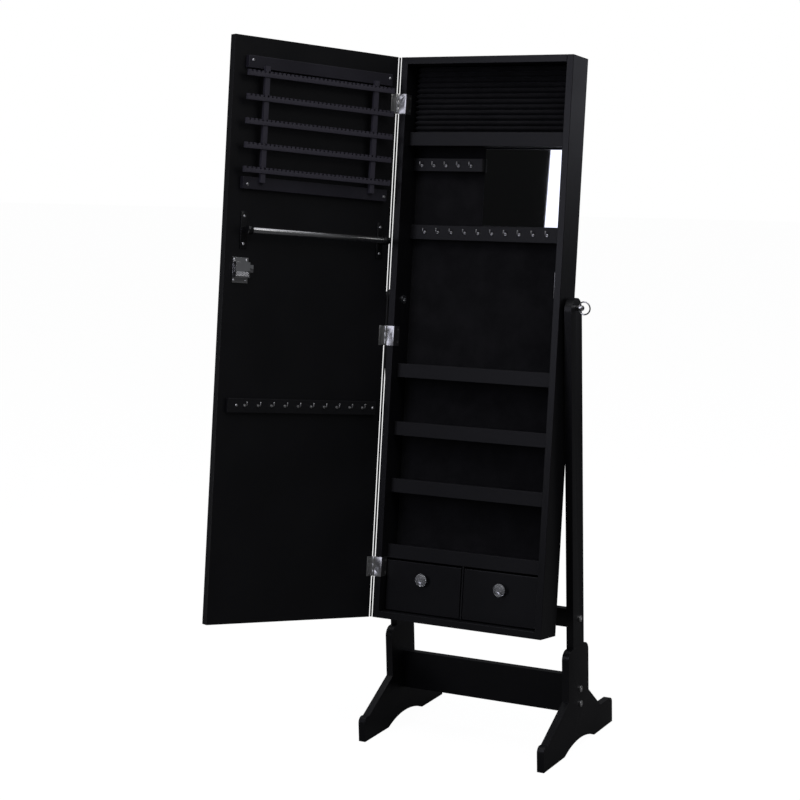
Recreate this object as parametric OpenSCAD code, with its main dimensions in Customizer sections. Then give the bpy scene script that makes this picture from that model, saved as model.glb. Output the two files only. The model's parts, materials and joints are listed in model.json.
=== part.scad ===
/* [Cabinet] */
// Outside width of the cabinet and its door
cab_w = 400; // [380:1:420]
// Depth of the cabinet without its door
cab_d = 73; // [70:1:76]
// Height of the cabinet and its door
cab_h = 1200; // [1190:1:1210]
// Thickness of the cabinet's panels
panel_t = 15; // [14:0.5:16]
// How far the cabinet leans back on its stand, in degrees
tilt = 8.83; // [4:0.01:18]
// Height of the pivot screws above the cabinet's underside
pivot_up = 686; // [676:1:690]
// Depth of the pivot screws behind the cabinet's front edge
pivot_in = 38; // [36:1:40]

/* [Shelves] */
// Undersides of the four shelf boards, from the top one down
shelf_z = [519, 394, 271, 129];
// Height of the lips in front of the shelves
lip_h = 30; // [26:1:32]
// Thickness of the lips
lip_t = 8; // [6:0.5:10]
// Distance from the cabinet's front edge to the lips
lip_y = 24; // [24:0.5:27]
// Thickness of the shelf boards
shelf_t = 9; // [7:0.5:10]
// Underside of the shelf below the ring cushion
ring_shelf_z = 1015; // [1015:1:1017]
// Depth of the ring cushion
cushion_d = 26; // [20:1:28]

/* [Drawers] */
// Width of one drawer front
drawer_w = 179; // [176:0.5:179.5]
// Thickness of a drawer front
drawer_front_t = 10; // [8:0.5:12]
// Depth of a drawer's tray behind its front
tray_d = 30; // [26:1:30]
// Height of a drawer's tray
tray_h = 92; // [60:1:98]
// Diameter of the drawer knobs
knob_d = 28; // [20:1:30]

/* [Door] */
// Thickness of the door
door_t = 18; // [18:0.5:20]
// How far the door stands open, in degrees
door_open = 116.2; // [0:0.1:119]
// Width of the frame around the outer mirror
mirror_border = 45; // [42:1:60]
// Thickness of the outer mirror
mirror_t = 3; // [2:0.5:4]
// Height of one hinge
hinge_h = 42; // [38:1:46]
// Diameter of the scarf rod
rod_d = 13; // [10:0.5:14]
// How far the earring strips stand off the door
comb_out = 22; // [20:0.5:22]

/* [Hooks] */
// Distance between neighbouring hooks on the long bars
hook_pitch = 32.15; // [30:0.05:33]
// Distance between neighbouring hooks on the short bar
short_pitch = 29.6; // [28:0.1:30]
// Diameter of a hook's wire
hook_wire = 2.4; // [2:0.1:3]

/* [Stand] */
// Height of the pivot screws above the floor
pivot_h = 944.4; // [940:0.1:950]
// Thickness of the posts and feet
post_t = 16; // [15:0.5:18]
// Width of the posts, front to back
post_w = 54; // [50:1:56]
// Length of a foot, front to back
foot_l = 356; // [340:2:380]
// Gap between the cabinet and each post
side_gap = 5; // [5:0.5:8]
// Height of the lower stretcher board
stretcher_h = 84; // [80:1:88]
// Height of the upper rear rail
rail_h = 40; // [36:1:44]

/* [Hidden] */
$fn = 48;

// Gap left between pieces that slide or are assembled, and a cut's overrun
gap = 0.2;
over = 1;
// Radial clearance of every pin and screw in its bore
run = 0.05;

// Colours
paint = [0.11, 0.11, 0.13];
lip_grey = [0.22, 0.22, 0.25];
velvet = [0.05, 0.05, 0.06];
steel = [0.78, 0.78, 0.8];
black_metal = [0.07, 0.07, 0.08];
glass_tint = [0.7, 0.76, 0.8];

// Cabinet's inside
half_w = cab_w / 2;
in_w = half_w - panel_t;
back_y = 66;
back_t = 4;
lining_t = 1.4;
wall_y = back_y - lining_t;
groove = 5;
ring_lip_h = 29;
ring_top = cab_h - panel_t;
bar_t = 14.4;
bar_y = wall_y - bar_t;
hook_z = 16;
low_bar_z = 817;
low_bar_h = 31;
high_bar_z = 963;
high_bar_h = 28;
high_bar_end = -20;
glass_t = 3.2;
divider_t = 4;

// Drawers
drawer_gap = 3.5;
drawer_z0 = 16.5;
drawer_z1 = 125;
tray_z0 = 15.6;
tray_wall = 5;
tray_in = 2.5;
knob_z = 90;

// Door and hinges, as they lie with the door shut
door_gap = 2.4;
leaf_t = 1.1;
knuckle_r = 3.2;
pin_r = 1.5;
shank_r = 1.4;
flush_r = 2.7;
hole_r = 1.9;
strike_t = 1;
strike_screw = 20;
hinge_x = -half_w - knuckle_r - 0.1;
hinge_y = -door_gap / 2;
hinge_z = [110, 607, 1101];
flange_d = 24;
flange_screw = 6;
leaf_screw = 7.75;
hinge_screw = 13;
door_y = -door_gap;
door_front = -door_gap - door_t;
// Things on the door are placed from the hinge side, u, and off the door, out
u0 = -half_w - 1.5;

// Lock
lock_z = 724;
lock_x = 171.5;
plug_r = 6;
barrel_r = 9;
crank_r = 7.07;
bolt_throw = 10;
bolt_z = 730;
bolt_h = 16;
bolt_t = 3;
bolt_out = 9;
box_out = 14;

// Earring holder
cleat_u = [22, 374];
cleat_h = 25;
cleat_t = 12;
cleat_z = [891, 1135];
comb_u = [21, 379];
comb_h = 12;
comb_t = 6;
comb_pitch = 48.6;
comb_z0 = 924;
notch_pitch = 10;
bar_u = [60, 327];
comb_bar_w = 11;
comb_bar_out = 20;

// Scarf rod
rod_z = 808;
rod_out = 25;
rod_u = [27, 361];
bracket_z = [770, 846];

// Hook bar on the door
door_bar_z = 436;
door_bar_h = 29;
door_bar_t = 9;

// Stand
post_in = half_w + side_gap;
post_out = post_in + post_t;
post_foot_z = 222;
tenon_h = 35;
tenon_t = 8;
tenon_w = 30;
post_top_r = post_w / 2;
bolt_y = 8;
stretcher_z = 72;
rail_z = 261;
rail_t = 15;
bolt_r = 3;
bolt_l = 55;
nut_r = 5;
nut_in = 36;
foot_half = foot_l / 2;
ankle = 51;
shoulder = 20;
toe_front = 54;
toe_back = 57;
toe_r = 13;
heel_r = 12;
screw_r = 4;
screw_head_l = 16;
ring_r = 13;
ring_wire_r = 1.5;

// Places every cabinet piece: drawn upright, then leaned back about the pivot
module in_cabinet() {
    translate([0, 0, pivot_h])
        rotate([-tilt, 0, 0])
            translate([0, -pivot_in, -pivot_up])
                children();
}

// Places every door piece: drawn with the door shut, then swung open
module on_door() {
    in_cabinet()
        translate([hinge_x, hinge_y, 0])
            rotate([0, 0, -door_open])
                translate([-hinge_x, -hinge_y, 0])
                    children();
}

// Mirrors a right-hand piece for side = -1
module on_side(side) {
    mirror([side < 0 ? 1 : 0, 0, 0])
        children();
}

// A box given by its two corners
module block(lo, hi) {
    translate(lo)
        cube(hi - lo);
}

// A cylinder along +X
module rod_x(r, l) {
    rotate([0, 90, 0])
        cylinder(r = r, h = l);
}

// A cylinder along +Y
module rod_y(r, l) {
    rotate([-90, 0, 0])
        cylinder(r = r, h = l);
}

// A pan-head wood screw with its head's base at the origin, pointing to -Z
module wood_screw(l, head_r = 3, head_h = 1.4) {
    slot_w = 0.8;
    slot_l = head_r * 1.2;
    dome = 0.65;
    difference() {
        union() {
            cylinder(r1 = head_r, r2 = head_r * dome, h = head_h);
            translate([0, 0, -l])
                cylinder(r = shank_r, h = l + head_h / 2);
        }
        for (turn = [0, 90])
            rotate([0, 0, turn])
                translate([-slot_l / 2, -slot_w / 2, head_h * 0.45])
                    cube([slot_l, slot_w, head_h]);
    }
}

// The cone of a countersunk screw's head, with its top at z = 0
module screw_cone(slack, past) {
    rise = (flush_r - shank_r) / leaf_t;
    translate([0, 0, -leaf_t - past])
        cylinder(r1 = shank_r + slack - rise * past, r2 = flush_r + slack + rise * past,
                 h = leaf_t + 2 * past);
}

// A countersunk screw, flush with a hinge leaf at z = 0, pointing to -Z
module flush_screw(l) {
    slot_w = 0.7;
    slot_l = 3.2;
    slot_d = 0.6;
    difference() {
        union() {
            screw_cone(0, 0);
            translate([0, 0, -l])
                cylinder(r = shank_r, h = l - slot_d);
        }
        for (turn = [0, 90])
            rotate([0, 0, turn])
                translate([-slot_l / 2, -slot_w / 2, -slot_d])
                    cube([slot_l, slot_w, slot_d + over]);
    }
}

// An up-turned hook that stands out along -Y from y = 0 and is let in behind
module hook() {
    wire = hook_wire / 2;
    reach = 10;
    bend = 3;
    tip = 4;
    let_in = 8;
    collar_r = 3.2;
    collar_t = 1.2;
    rotate([90, 0, 0])
        cylinder(r = collar_r, h = collar_t);
    translate([0, let_in, 0])
        rotate([90, 0, 0])
            cylinder(r = wire, h = let_in + reach - bend);
    translate([0, -reach + bend, bend])
        rotate([0, -90, 0])
            rotate([0, 0, 180])
                rotate_extrude(angle = 90)
                    translate([bend, 0])
                        circle(r = wire);
    translate([0, -reach, bend])
        cylinder(r = wire, h = tip);
    translate([0, -reach, bend + tip])
        sphere(r = wire * 1.2);
}

// ---------- stand ----------

module post_outline() {
    round_z = pivot_h - 6.4;
    difference() {
        union() {
            translate([-post_w / 2, post_foot_z])
                square([post_w, round_z - post_foot_z]);
            translate([0, round_z])
                circle(r = post_top_r);
            translate([-tenon_w / 2, post_foot_z - tenon_h])
                square([tenon_w, tenon_h + over]);
        }
        translate([0, pivot_h])
            circle(r = screw_r + run);
        translate([bolt_y, rail_z + rail_h / 2])
            circle(r = bolt_r + run);
    }
}

// Turns an outline drawn in (y, z) into a slab between two x
module slab(x0, x1) {
    translate([x0, 0, 0])
        rotate([90, 0, 90])
            linear_extrude(x1 - x0)
                children();
}

module post(side) {
    cheek = (post_t - tenon_t) / 2;
    color(paint)
        on_side(side)
            difference() {
                slab(post_in, post_out)
                    post_outline();
                for (x = [post_in - over, post_out - cheek])
                    block([x, -post_w, post_foot_z - tenon_h - over],
                          [x + cheek + over, post_w, post_foot_z]);
            }
}

// A foot's body: two toes, two straight slopes and the ankle below its shoulders
module foot_body() {
    slope_front = 158;
    slope_back = 114;
    slope_top = 112;
    slab(post_in, post_out)
        polygon([
            [-foot_half, 0], [-foot_half, toe_front - toe_r],
            [toe_r - foot_half, toe_front], [-slope_front, toe_front - over],
            [-ankle, slope_top], [-ankle, post_foot_z - shoulder],
            [ankle, post_foot_z - shoulder], [ankle, slope_top],
            [slope_back, toe_back + over], [foot_half - heel_r, toe_back],
            [foot_half, toe_back - heel_r], [foot_half, 0]
        ]);
}

// A round edge of a foot, across its whole thickness
module foot_round(y, z, r) {
    translate([post_in, y, z])
        rod_x(r, post_t);
}

// Heights of the two bolts that hold the stretcher board in each foot
function bolt_heights() = [
    stretcher_z + stretcher_h / 4, stretcher_z + stretcher_h * 0.64
];

module foot(side) {
    cheek = (post_t - tenon_t) / 2;
    arch_front = 74;
    arch_back = 80;
    arch_rise = 17;
    arch_half = (arch_back + arch_front) / 2;
    arch_r = (arch_half * arch_half + arch_rise * arch_rise) / (2 * arch_rise);
    color(paint)
        on_side(side)
            difference() {
                union() {
                    foot_body();
                    foot_round(toe_r - foot_half, toe_front - toe_r, toe_r);
                    foot_round(foot_half - heel_r, toe_back - heel_r, heel_r);
                    foot_round(shoulder - ankle, post_foot_z - shoulder, shoulder);
                    foot_round(ankle - shoulder, post_foot_z - shoulder, shoulder);
                    block([post_in, shoulder - ankle, post_foot_z - shoulder - over],
                          [post_out, ankle - shoulder, post_foot_z]);
                }
                translate([post_in - over, (arch_back - arch_front) / 2, arch_rise - arch_r])
                    rod_x(arch_r, post_t + 2 * over, $fn = 160);
                for (z = bolt_heights())
                    translate([post_in - over, bolt_y, z])
                        rod_x(bolt_r + run, post_t + 2 * over);
                block([post_in + cheek - gap, -tenon_w / 2 - gap,
                       post_foot_z - tenon_h - gap],
                      [post_out - cheek + gap, tenon_w / 2 + gap,
                       post_foot_z + over]);
            }
}

// A board between the two sides with bolt bores and cross bores in its ends
module rail_board(z, h, t, bolt_zs) {
    y0 = bolt_y - t / 2;
    difference() {
        block([-post_in, y0, z], [post_in, y0 + t, z + h]);
        for (side = [-1, 1])
            on_side(side)
                for (bz = bolt_zs) {
                    translate([post_in - bolt_l + post_t - gap, bolt_y, bz])
                        rod_x(bolt_r + run, bolt_l);
                    translate([post_in - nut_in, y0 + 1.5, bz])
                        rod_y(nut_r + run, t);
                }
    }
}

module stretcher_board() {
    color(paint)
        rail_board(stretcher_z, stretcher_h, post_t, bolt_heights());
}

module rear_rail() {
    color(paint)
        rail_board(rail_z, rail_h, rail_t, [rail_z + rail_h / 2]);
}

// Every height at which a bolt goes through a side
function all_bolt_heights() = concat(bolt_heights(), [rail_z + rail_h / 2]);

module stand_bolts() {
    head_r = 7;
    head_h = 2.6;
    socket_r = 2.9;
    color(steel)
        for (side = [-1, 1], z = all_bolt_heights())
            on_side(side)
                translate([post_out, bolt_y, z])
                    difference() {
                        union() {
                            rod_x(head_r, head_h);
                            translate([-bolt_l, 0, 0])
                                rod_x(bolt_r, bolt_l + 1);
                        }
                        translate([head_h - 2, 0, 0])
                            rotate([0, 90, 0])
                                cylinder(r = socket_r, h = 3, $fn = 6);
                    }
}

module barrel_nuts() {
    nut_l = 12;
    color(steel)
        for (side = [-1, 1], z = all_bolt_heights())
            on_side(side)
                translate([post_in - nut_in, bolt_y, z])
                    difference() {
                        translate([0, -nut_l / 2, 0])
                            rod_y(nut_r, nut_l);
                        translate([-2 * nut_r, 0, 0])
                            rod_x(bolt_r + run, 4 * nut_r);
                    }
}

// ---------- pivot ----------

module pivot_screw(side) {
    tip_x = half_w - 13;
    head_r = 5.5;
    taper = 2;
    color(steel)
        translate([0, 0, pivot_h])
            on_side(side) {
                translate([tip_x, 0, 0])
                    rod_x(screw_r, post_out - tip_x + 1);
                translate([post_out + run, 0, 0])
                    rod_x(head_r, screw_head_l - taper);
                translate([post_out + screw_head_l - taper, 0, 0])
                    rotate([0, 90, 0])
                        cylinder(r1 = head_r, r2 = head_r - taper, h = taper);
            }
}

module pull_ring(side) {
    ring_out = 17;
    color(steel)
        translate([0, 0, pivot_h])
            on_side(side)
                translate([post_out + ring_out, 0, 0])
                    rotate([90, 0, 0])
                        rotate_extrude()
                            translate([ring_r, 0])
                                circle(r = ring_wire_r, $fn = 24);
}

module pivot_spacers() {
    spacer_r = 10;
    color(black_metal)
        translate([0, 0, pivot_h])
            for (side = [-1, 1])
                on_side(side)
                    translate([half_w + gap, 0, 0])
                        difference() {
                            rod_x(spacer_r, side_gap - gap);
                            translate([-over, 0, 0])
                                rod_x(screw_r + run, side_gap + 2 * over);
                        }
}

module pivot_inserts() {
    flange_r = 9;
    flange_t = 1.5;
    body_r = 6;
    color(steel)
        in_cabinet()
            for (side = [-1, 1])
                on_side(side)
                    translate([0, pivot_in, pivot_up])
                        difference() {
                            union() {
                                translate([in_w - flange_t, 0, 0])
                                    rod_x(flange_r, flange_t);
                                translate([in_w - over, 0, 0])
                                    rod_x(body_r, panel_t + over);
                            }
                            translate([in_w - panel_t, 0, 0])
                                rod_x(screw_r + run, 3 * panel_t);
                        }
}

// ---------- cabinet ----------

module side_panel(side) {
    mortise_d = 11;
    mortise_slack = 2;
    groove_end = 10;
    insert_r = 6;
    color(paint)
        in_cabinet()
            difference() {
                on_side(side)
                    difference() {
                        block([in_w, 0, 0], [half_w, cab_d, cab_h]);
                        block([in_w - over, back_y, groove_end],
                              [in_w + groove, back_y + back_t, cab_h - groove_end]);
                        translate([in_w - over, pivot_in, pivot_up])
                            rod_x(insert_r + run, panel_t + 2 * over);
                    }
                if (side > 0)
                    block([in_w - over, door_y + bolt_out - gap, bolt_z - bolt_h / 2 - mortise_slack],
                          [in_w + mortise_d, door_y + bolt_out + bolt_t + gap,
                           bolt_z + bolt_h / 2 + mortise_slack]);
            }
}

module cross_panel(z, groove_z) {
    color(paint)
        in_cabinet()
            difference() {
                block([-in_w, 0, z], [in_w, cab_d, z + panel_t]);
                block([-in_w - over, back_y, groove_z],
                      [in_w + over, back_y + back_t, groove_z + groove + over]);
            }
}

module top_panel() {
    cross_panel(cab_h - panel_t, cab_h - panel_t - over);
}

module bottom_panel() {
    cross_panel(0, panel_t - groove);
}

module back_panel() {
    edge = groove - gap;
    color(paint)
        in_cabinet()
            block([-in_w - edge, back_y + gap / 2, panel_t - edge],
                  [in_w + edge, back_y + back_t - gap / 2, ring_top + edge]);
}

module back_lining() {
    color(velvet)
        in_cabinet()
            block([-in_w + gap, wall_y, panel_t + gap],
                  [in_w - gap, back_y, ring_top - gap]);
}

module ring_cushion() {
    crown = 8;
    z0 = ring_shelf_z + shelf_t + 1;
    z1 = ring_top - 1;
    color(velvet)
        in_cabinet()
            slab(-in_w + 1, in_w - 1)
                polygon([
                    [wall_y, z0], [wall_y - cushion_d + crown, z0],
                    [wall_y - cushion_d, z0 + crown], [wall_y - cushion_d, z1 - crown],
                    [wall_y - cushion_d + crown, z1], [wall_y, z1]
                ]);
}

// A shelf board behind a lip, both with their underside at z
module shelf_board(z) {
    color(lip_grey)
        in_cabinet()
            block([-in_w + gap, lip_y + lip_t, z], [in_w - gap, wall_y, z + shelf_t]);
}

module shelf_lip(z, h) {
    color(lip_grey)
        in_cabinet()
            block([-in_w + gap, lip_y, z], [in_w - gap, lip_y + lip_t, z + h]);
}

module ring_shelf_board() {
    shelf_board(ring_shelf_z);
}

module ring_shelf_lip() {
    shelf_lip(ring_shelf_z, ring_lip_h);
}

module vanity_mirror() {
    color(glass_tint)
        in_cabinet()
            block([high_bar_end + gap, wall_y - glass_t, low_bar_z + low_bar_h + 1],
                  [in_w - gap, wall_y, ring_shelf_z - 1]);
}

module upper_hook_bar() {
    color(lip_grey)
        in_cabinet()
            block([-in_w + gap, bar_y, high_bar_z],
                  [high_bar_end, wall_y, high_bar_z + high_bar_h]);
}

module lower_hook_bar() {
    color(lip_grey)
        in_cabinet()
            block([-in_w + gap, bar_y, low_bar_z],
                  [in_w - gap, wall_y, low_bar_z + low_bar_h]);
}

module cabinet_hooks() {
    long_count = 10;
    short_count = 5;
    short_hook_z = 12;
    short_first = -165;
    long_first = -149.6;
    color(steel)
        in_cabinet() {
            for (i = [0 : long_count - 1])
                translate([long_first + i * hook_pitch, bar_y, low_bar_z + hook_z])
                    hook();
            for (i = [0 : short_count - 1])
                translate([short_first + i * short_pitch, bar_y, high_bar_z + short_hook_z])
                    hook();
        }
}

module drawer_divider() {
    color(paint)
        in_cabinet()
            block([-divider_t / 2, lip_y, panel_t], [divider_t / 2, wall_y, shelf_z[3]]);
}

// One hinge's knuckle stretches: the frame's are the ends, the door's the middle
module knuckle(z0, z1) {
    translate([hinge_x, hinge_y, z0])
        cylinder(r = knuckle_r, h = z1 - z0);
}

module pin_bore(z) {
    translate([hinge_x, hinge_y, z - hinge_h])
        cylinder(r = pin_r + run, h = 2 * hinge_h);
}

module hinge_frame_leaves() {
    third = hinge_h / 3;
    half = hinge_h / 2;
    color(steel)
        in_cabinet()
            for (z = hinge_z)
                difference() {
                    union() {
                        block([-half_w, -leaf_t, z - half], [-in_w, 0, z + half]);
                        block([-in_w, -leaf_t, z - half], [-in_w + leaf_t, flange_d, z + half]);
                        for (z0 = [z - half, z + half - third + gap]) {
                            knuckle(z0, z0 + third - gap);
                            block([hinge_x, -leaf_t, z0], [-half_w, 0, z0 + third - gap]);
                        }
                    }
                    pin_bore(z);
                    translate([panel_t / 2 - half_w, -leaf_t, z])
                        rotate([90, 0, 0])
                            screw_cone(2 * run, over);
                    for (side = [-1, 1])
                        translate([-half_w, flange_d - flange_screw, z + side * hinge_screw])
                            rod_x(hole_r, 2 * panel_t);
                }
}

module hinge_door_leaves() {
    third = hinge_h / 3;
    half = hinge_h / 2;
    leaf_w = 13.5;
    color(steel)
        on_door()
            for (z = hinge_z)
                difference() {
                    union() {
                        block([-half_w, door_y, z - half],
                              [-half_w + leaf_w, door_y + leaf_t, z + half]);
                        knuckle(z - third / 2, z + third / 2);
                        block([hinge_x, door_y, z - third / 2],
                              [-half_w, door_y + leaf_t, z + third / 2]);
                    }
                    pin_bore(z);
                    for (side = [-1, 1])
                        translate([leaf_screw - half_w, door_y + leaf_t, z + side * hinge_screw])
                            rotate([-90, 0, 0])
                                screw_cone(2 * run, over);
                }
}

module hinge_pins() {
    color(steel)
        in_cabinet()
            for (z = hinge_z)
                translate([hinge_x, hinge_y, z - hinge_h / 2])
                    cylinder(r = pin_r, h = hinge_h);
}

module strike_plate() {
    half_h = 27;
    rim = 5;
    y0 = door_y + bolt_out - rim;
    y1 = door_y + bolt_out + bolt_t + rim;
    color(steel)
        in_cabinet()
            difference() {
                block([in_w - strike_t, y0, bolt_z - half_h], [in_w, y1, bolt_z + half_h]);
                block([in_w - strike_t - over, y0 + rim - gap, bolt_z - bolt_h / 2 - over],
                      [in_w + over, y1 - rim + gap, bolt_z + bolt_h / 2 + over]);
                for (side = [-1, 1])
                    translate([in_w - strike_t - over, (y0 + y1) / 2, bolt_z + side * strike_screw])
                        rod_x(hole_r, strike_t + 2 * over);
            }
}

module cabinet_screws() {
    strike_y = door_y + bolt_out + bolt_t / 2;
    screw_l = 9;
    small_head_r = 2.7;
    small_head_h = 0.5;
    color(steel)
        in_cabinet() {
            for (z = hinge_z) {
                translate([panel_t / 2 - half_w, -leaf_t, z])
                    rotate([90, 0, 0])
                        flush_screw(screw_l);
                for (side = [-1, 1])
                    translate([leaf_t - in_w, flange_d - flange_screw, z + side * hinge_screw])
                        rotate([0, 90, 0])
                            wood_screw(screw_l, small_head_r, small_head_h);
            }
            for (side = [-1, 1])
                translate([in_w - strike_t, strike_y, bolt_z + side * strike_screw])
                    rotate([0, -90, 0])
                        wood_screw(screw_l, small_head_r, small_head_h);
        }
}

// ---------- drawers ----------

module drawer_front(side) {
    color(lip_grey)
        in_cabinet()
            on_side(side)
                block([drawer_gap, lip_y - 1, drawer_z0],
                      [drawer_gap + drawer_w, lip_y - 1 + drawer_front_t, drawer_z1]);
}

module drawer_tray(side) {
    x0 = drawer_gap + tray_in;
    x1 = drawer_gap + drawer_w - tray_in;
    y0 = lip_y - 1 + drawer_front_t;
    color(lip_grey)
        in_cabinet()
            on_side(side)
                difference() {
                    block([x0, y0, tray_z0], [x1, y0 + tray_d, tray_z0 + tray_h]);
                    block([x0 + tray_wall, y0 - over, tray_z0 + tray_wall - 1],
                          [x1 - tray_wall, y0 + tray_d - tray_wall, cab_h]);
                }
}

// A cut-glass knob on a small metal foot
module knob(side) {
    r = knob_d / 2;
    foot_r = 7;
    color(steel)
        in_cabinet()
            on_side(side)
                translate([drawer_gap + drawer_w / 2, lip_y - 1, knob_z])
                    rotate([90, 0, 0])
                        rotate_extrude()
                            polygon([
                                [0, 0], [foot_r, 0], [foot_r, 1.2], [foot_r * 0.65, 3],
                                [foot_r * 0.65, 5], [r * 0.8, 7.5], [r, 11.5],
                                [r * 0.84, 15.5], [r * 0.5, 18], [0, 18]
                            ]);
}

// ---------- door ----------

module door_panel() {
    color(paint)
        on_door()
            difference() {
                block([-half_w, door_front, 0], [half_w, door_y, cab_h]);
                block([-half_w + mirror_border, door_front - over, mirror_border],
                      [half_w - mirror_border, door_front + mirror_t + gap,
                       cab_h - mirror_border]);
                translate([lock_x, door_front - over, lock_z])
                    rod_y(barrel_r + run, door_t + 2 * over);
            }
}

module door_mirror() {
    edge = mirror_border + gap;
    color(glass_tint)
        on_door()
            block([-half_w + edge, door_front + gap, edge],
                  [half_w - edge, door_front + gap + mirror_t, cab_h - edge]);
}

// A board on the door between two u, two heights and two distances off it
module door_board(u, z, out) {
    block([u0 + u[0], door_y + out[0], z[0]], [u0 + u[1], door_y + out[1], z[1]]);
}

module earring_cleats() {
    color(lip_grey)
        on_door()
            for (z = cleat_z)
                door_board(cleat_u, [z, z + cleat_h], [0, cleat_t]);
}

// Height of the underside of earring strip i
function comb_z(i) = comb_z0 + i * comb_pitch;

module earring_bars() {
    foot = 14;
    lap = 6;
    color(lip_grey)
        on_door()
            difference() {
                for (u = bar_u)
                    door_board([u, u + comb_bar_w], [cleat_z[0] + foot, cleat_z[1] + lap],
                               [cleat_t, comb_bar_out]);
                for (i = [0 : 4])
                    door_board([0, cab_w], [comb_z(i) - gap, comb_z(i) + comb_h + gap],
                               [comb_out - comb_t - gap, comb_out + over]);
            }
}

module earring_strips() {
    notch_w = 4;
    notch_d = 4;
    first = comb_u[0] + 7;
    notches = floor((comb_u[1] - comb_u[0]) / notch_pitch) - 1;
    color(lip_grey)
        on_door()
            for (i = [0 : 4])
                difference() {
                    door_board(comb_u, [comb_z(i), comb_z(i) + comb_h],
                               [comb_out - comb_t, comb_out]);
                    for (n = [0 : notches])
                        door_board([first + n * notch_pitch,
                                    first + n * notch_pitch + notch_w],
                                   [comb_z(i) + comb_h - notch_d, comb_z(i) + comb_h + over],
                                   [comb_out - comb_t - over, comb_out + over]);
                }
}

module rod_brackets() {
    plate_w = 15;
    plate_t = 3;
    cup_l = 11;
    cup_wall = 2.5;
    arm_half = 6;
    cup_r = rod_d / 2 + cup_wall;
    color(black_metal)
        on_door()
            for (i = [0, 1]) {
                x = u0 + rod_u[i];
                dir = i == 0 ? 1 : -1;
                difference() {
                    union() {
                        door_board([rod_u[i] - plate_w / 2, rod_u[i] + plate_w / 2],
                                   bracket_z, [0, plate_t]);
                        door_board([rod_u[i] - cup_l / 2, rod_u[i] + cup_l / 2],
                                   [rod_z - arm_half, rod_z + arm_half], [plate_t - over, rod_out]);
                        translate([x - cup_l / 2, door_y + rod_out, rod_z])
                            rod_x(cup_r, cup_l);
                    }
                    translate([x - cup_l / 2 + (dir > 0 ? cup_wall : -over),
                               door_y + rod_out, rod_z])
                        rod_x(rod_d / 2 + run, cup_l - cup_wall + over);
                }
            }
}

module scarf_rod() {
    cup_floor = 3;
    x0 = u0 + rod_u[0] - cup_floor + gap;
    x1 = u0 + rod_u[1] + cup_floor - gap;
    color(steel)
        on_door()
            translate([x0, door_y + rod_out, rod_z])
                rod_x(rod_d / 2, x1 - x0);
}

module lock_housing() {
    plate_x = [145, 181];
    plate_z = [700, 752];
    case_x = [147, 180.5];
    case_z = [711, 743];
    plate_t = 2;
    wall = 1.5;
    cave = 5;
    rim_w = 2;
    rim_t = 1.2;
    color(steel)
        on_door()
            difference() {
                union() {
                    block([plate_x[0], door_y, plate_z[0]],
                          [plate_x[1], door_y + plate_t, plate_z[1]]);
                    block([case_x[0], door_y + over, case_z[0]],
                          [case_x[1], door_y + box_out, case_z[1]]);
                    translate([lock_x, door_front, lock_z])
                        rod_y(barrel_r, door_t + over);
                    translate([lock_x, door_front - rim_t, lock_z])
                        rod_y(barrel_r + rim_w, rim_t);
                }
                block([case_x[0] + wall, door_y + cave, case_z[0] + wall],
                      [case_x[1] - wall, door_y + box_out - wall, case_z[1] - wall]);
                block([case_x[0] - over, door_y + bolt_out - gap, bolt_z - bolt_h / 2 - gap],
                      [case_x[1] + over, door_y + bolt_out + bolt_t + gap,
                       bolt_z + bolt_h / 2 + gap]);
                translate([lock_x, door_front - rim_t - over, lock_z])
                    rod_y(plug_r + run, door_t + rim_t + cave + 2 * over);
            }
}

module lock_bolt() {
    tail_x = 138;
    tip_x = 180;
    slot_w = 2 * pin_r + 0.8;
    slot_h = 12;
    slot_x = lock_x - bolt_throw / 2;
    color(steel)
        on_door()
            difference() {
                block([tail_x, door_y + bolt_out, bolt_z - bolt_h / 2],
                      [tip_x, door_y + bolt_out + bolt_t, bolt_z + bolt_h / 2]);
                block([slot_x - slot_w / 2, 0, bolt_z - slot_h / 2],
                      [slot_x + slot_w / 2, 2 * box_out, bolt_z + slot_h / 2]);
            }
}

// The plug ends in a short arm, whose pin stands in the bolt's slot
module lock_plug() {
    arm_t = 2;
    arm_gap = 0.6;
    arm_y = door_y + bolt_out - arm_t - arm_gap;
    boss_r = pin_r + 0.4;
    lead = 1.6;
    lap = 0.5;
    key_w = 1.6;
    key_h = 7;
    key_d = 6;
    color(steel)
        on_door()
            translate([lock_x, 0, lock_z])
                difference() {
                    union() {
                        translate([0, door_front - lead, 0])
                            rod_y(plug_r, arm_y - door_front + lead + lap);
                        rotate([0, -45, 0]) {
                            block([-boss_r, arm_y, 0], [boss_r, arm_y + arm_t, crank_r]);
                            translate([0, arm_y, crank_r])
                                rod_y(boss_r, arm_t);
                            translate([0, arm_y, crank_r])
                                rod_y(pin_r, arm_t + arm_gap + bolt_t);
                        }
                    }
                    block([-key_w / 2, door_front - lead - over, -key_h / 2],
                          [key_w / 2, door_front + key_d, key_h / 2]);
                }
}

module door_hook_bar() {
    color(lip_grey)
        on_door()
            door_board([18.5, 382.5], [door_bar_z, door_bar_z + door_bar_h],
                       [0, door_bar_t]);
}

module door_hooks() {
    count = 10;
    first_u = 53.4;
    color(steel)
        on_door()
            for (i = [0 : count - 1])
                translate([u0 + first_u + i * hook_pitch, door_y + door_bar_t,
                           door_bar_z + hook_z - over])
                    mirror([0, 1, 0])
                        hook();
}

// A screw driven into the door at a distance off it
module door_screw(x, z, out) {
    bite = 9;
    translate([x, door_y + out, z])
        rotate([-90, 0, 0])
            wood_screw(out + bite);
}

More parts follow.
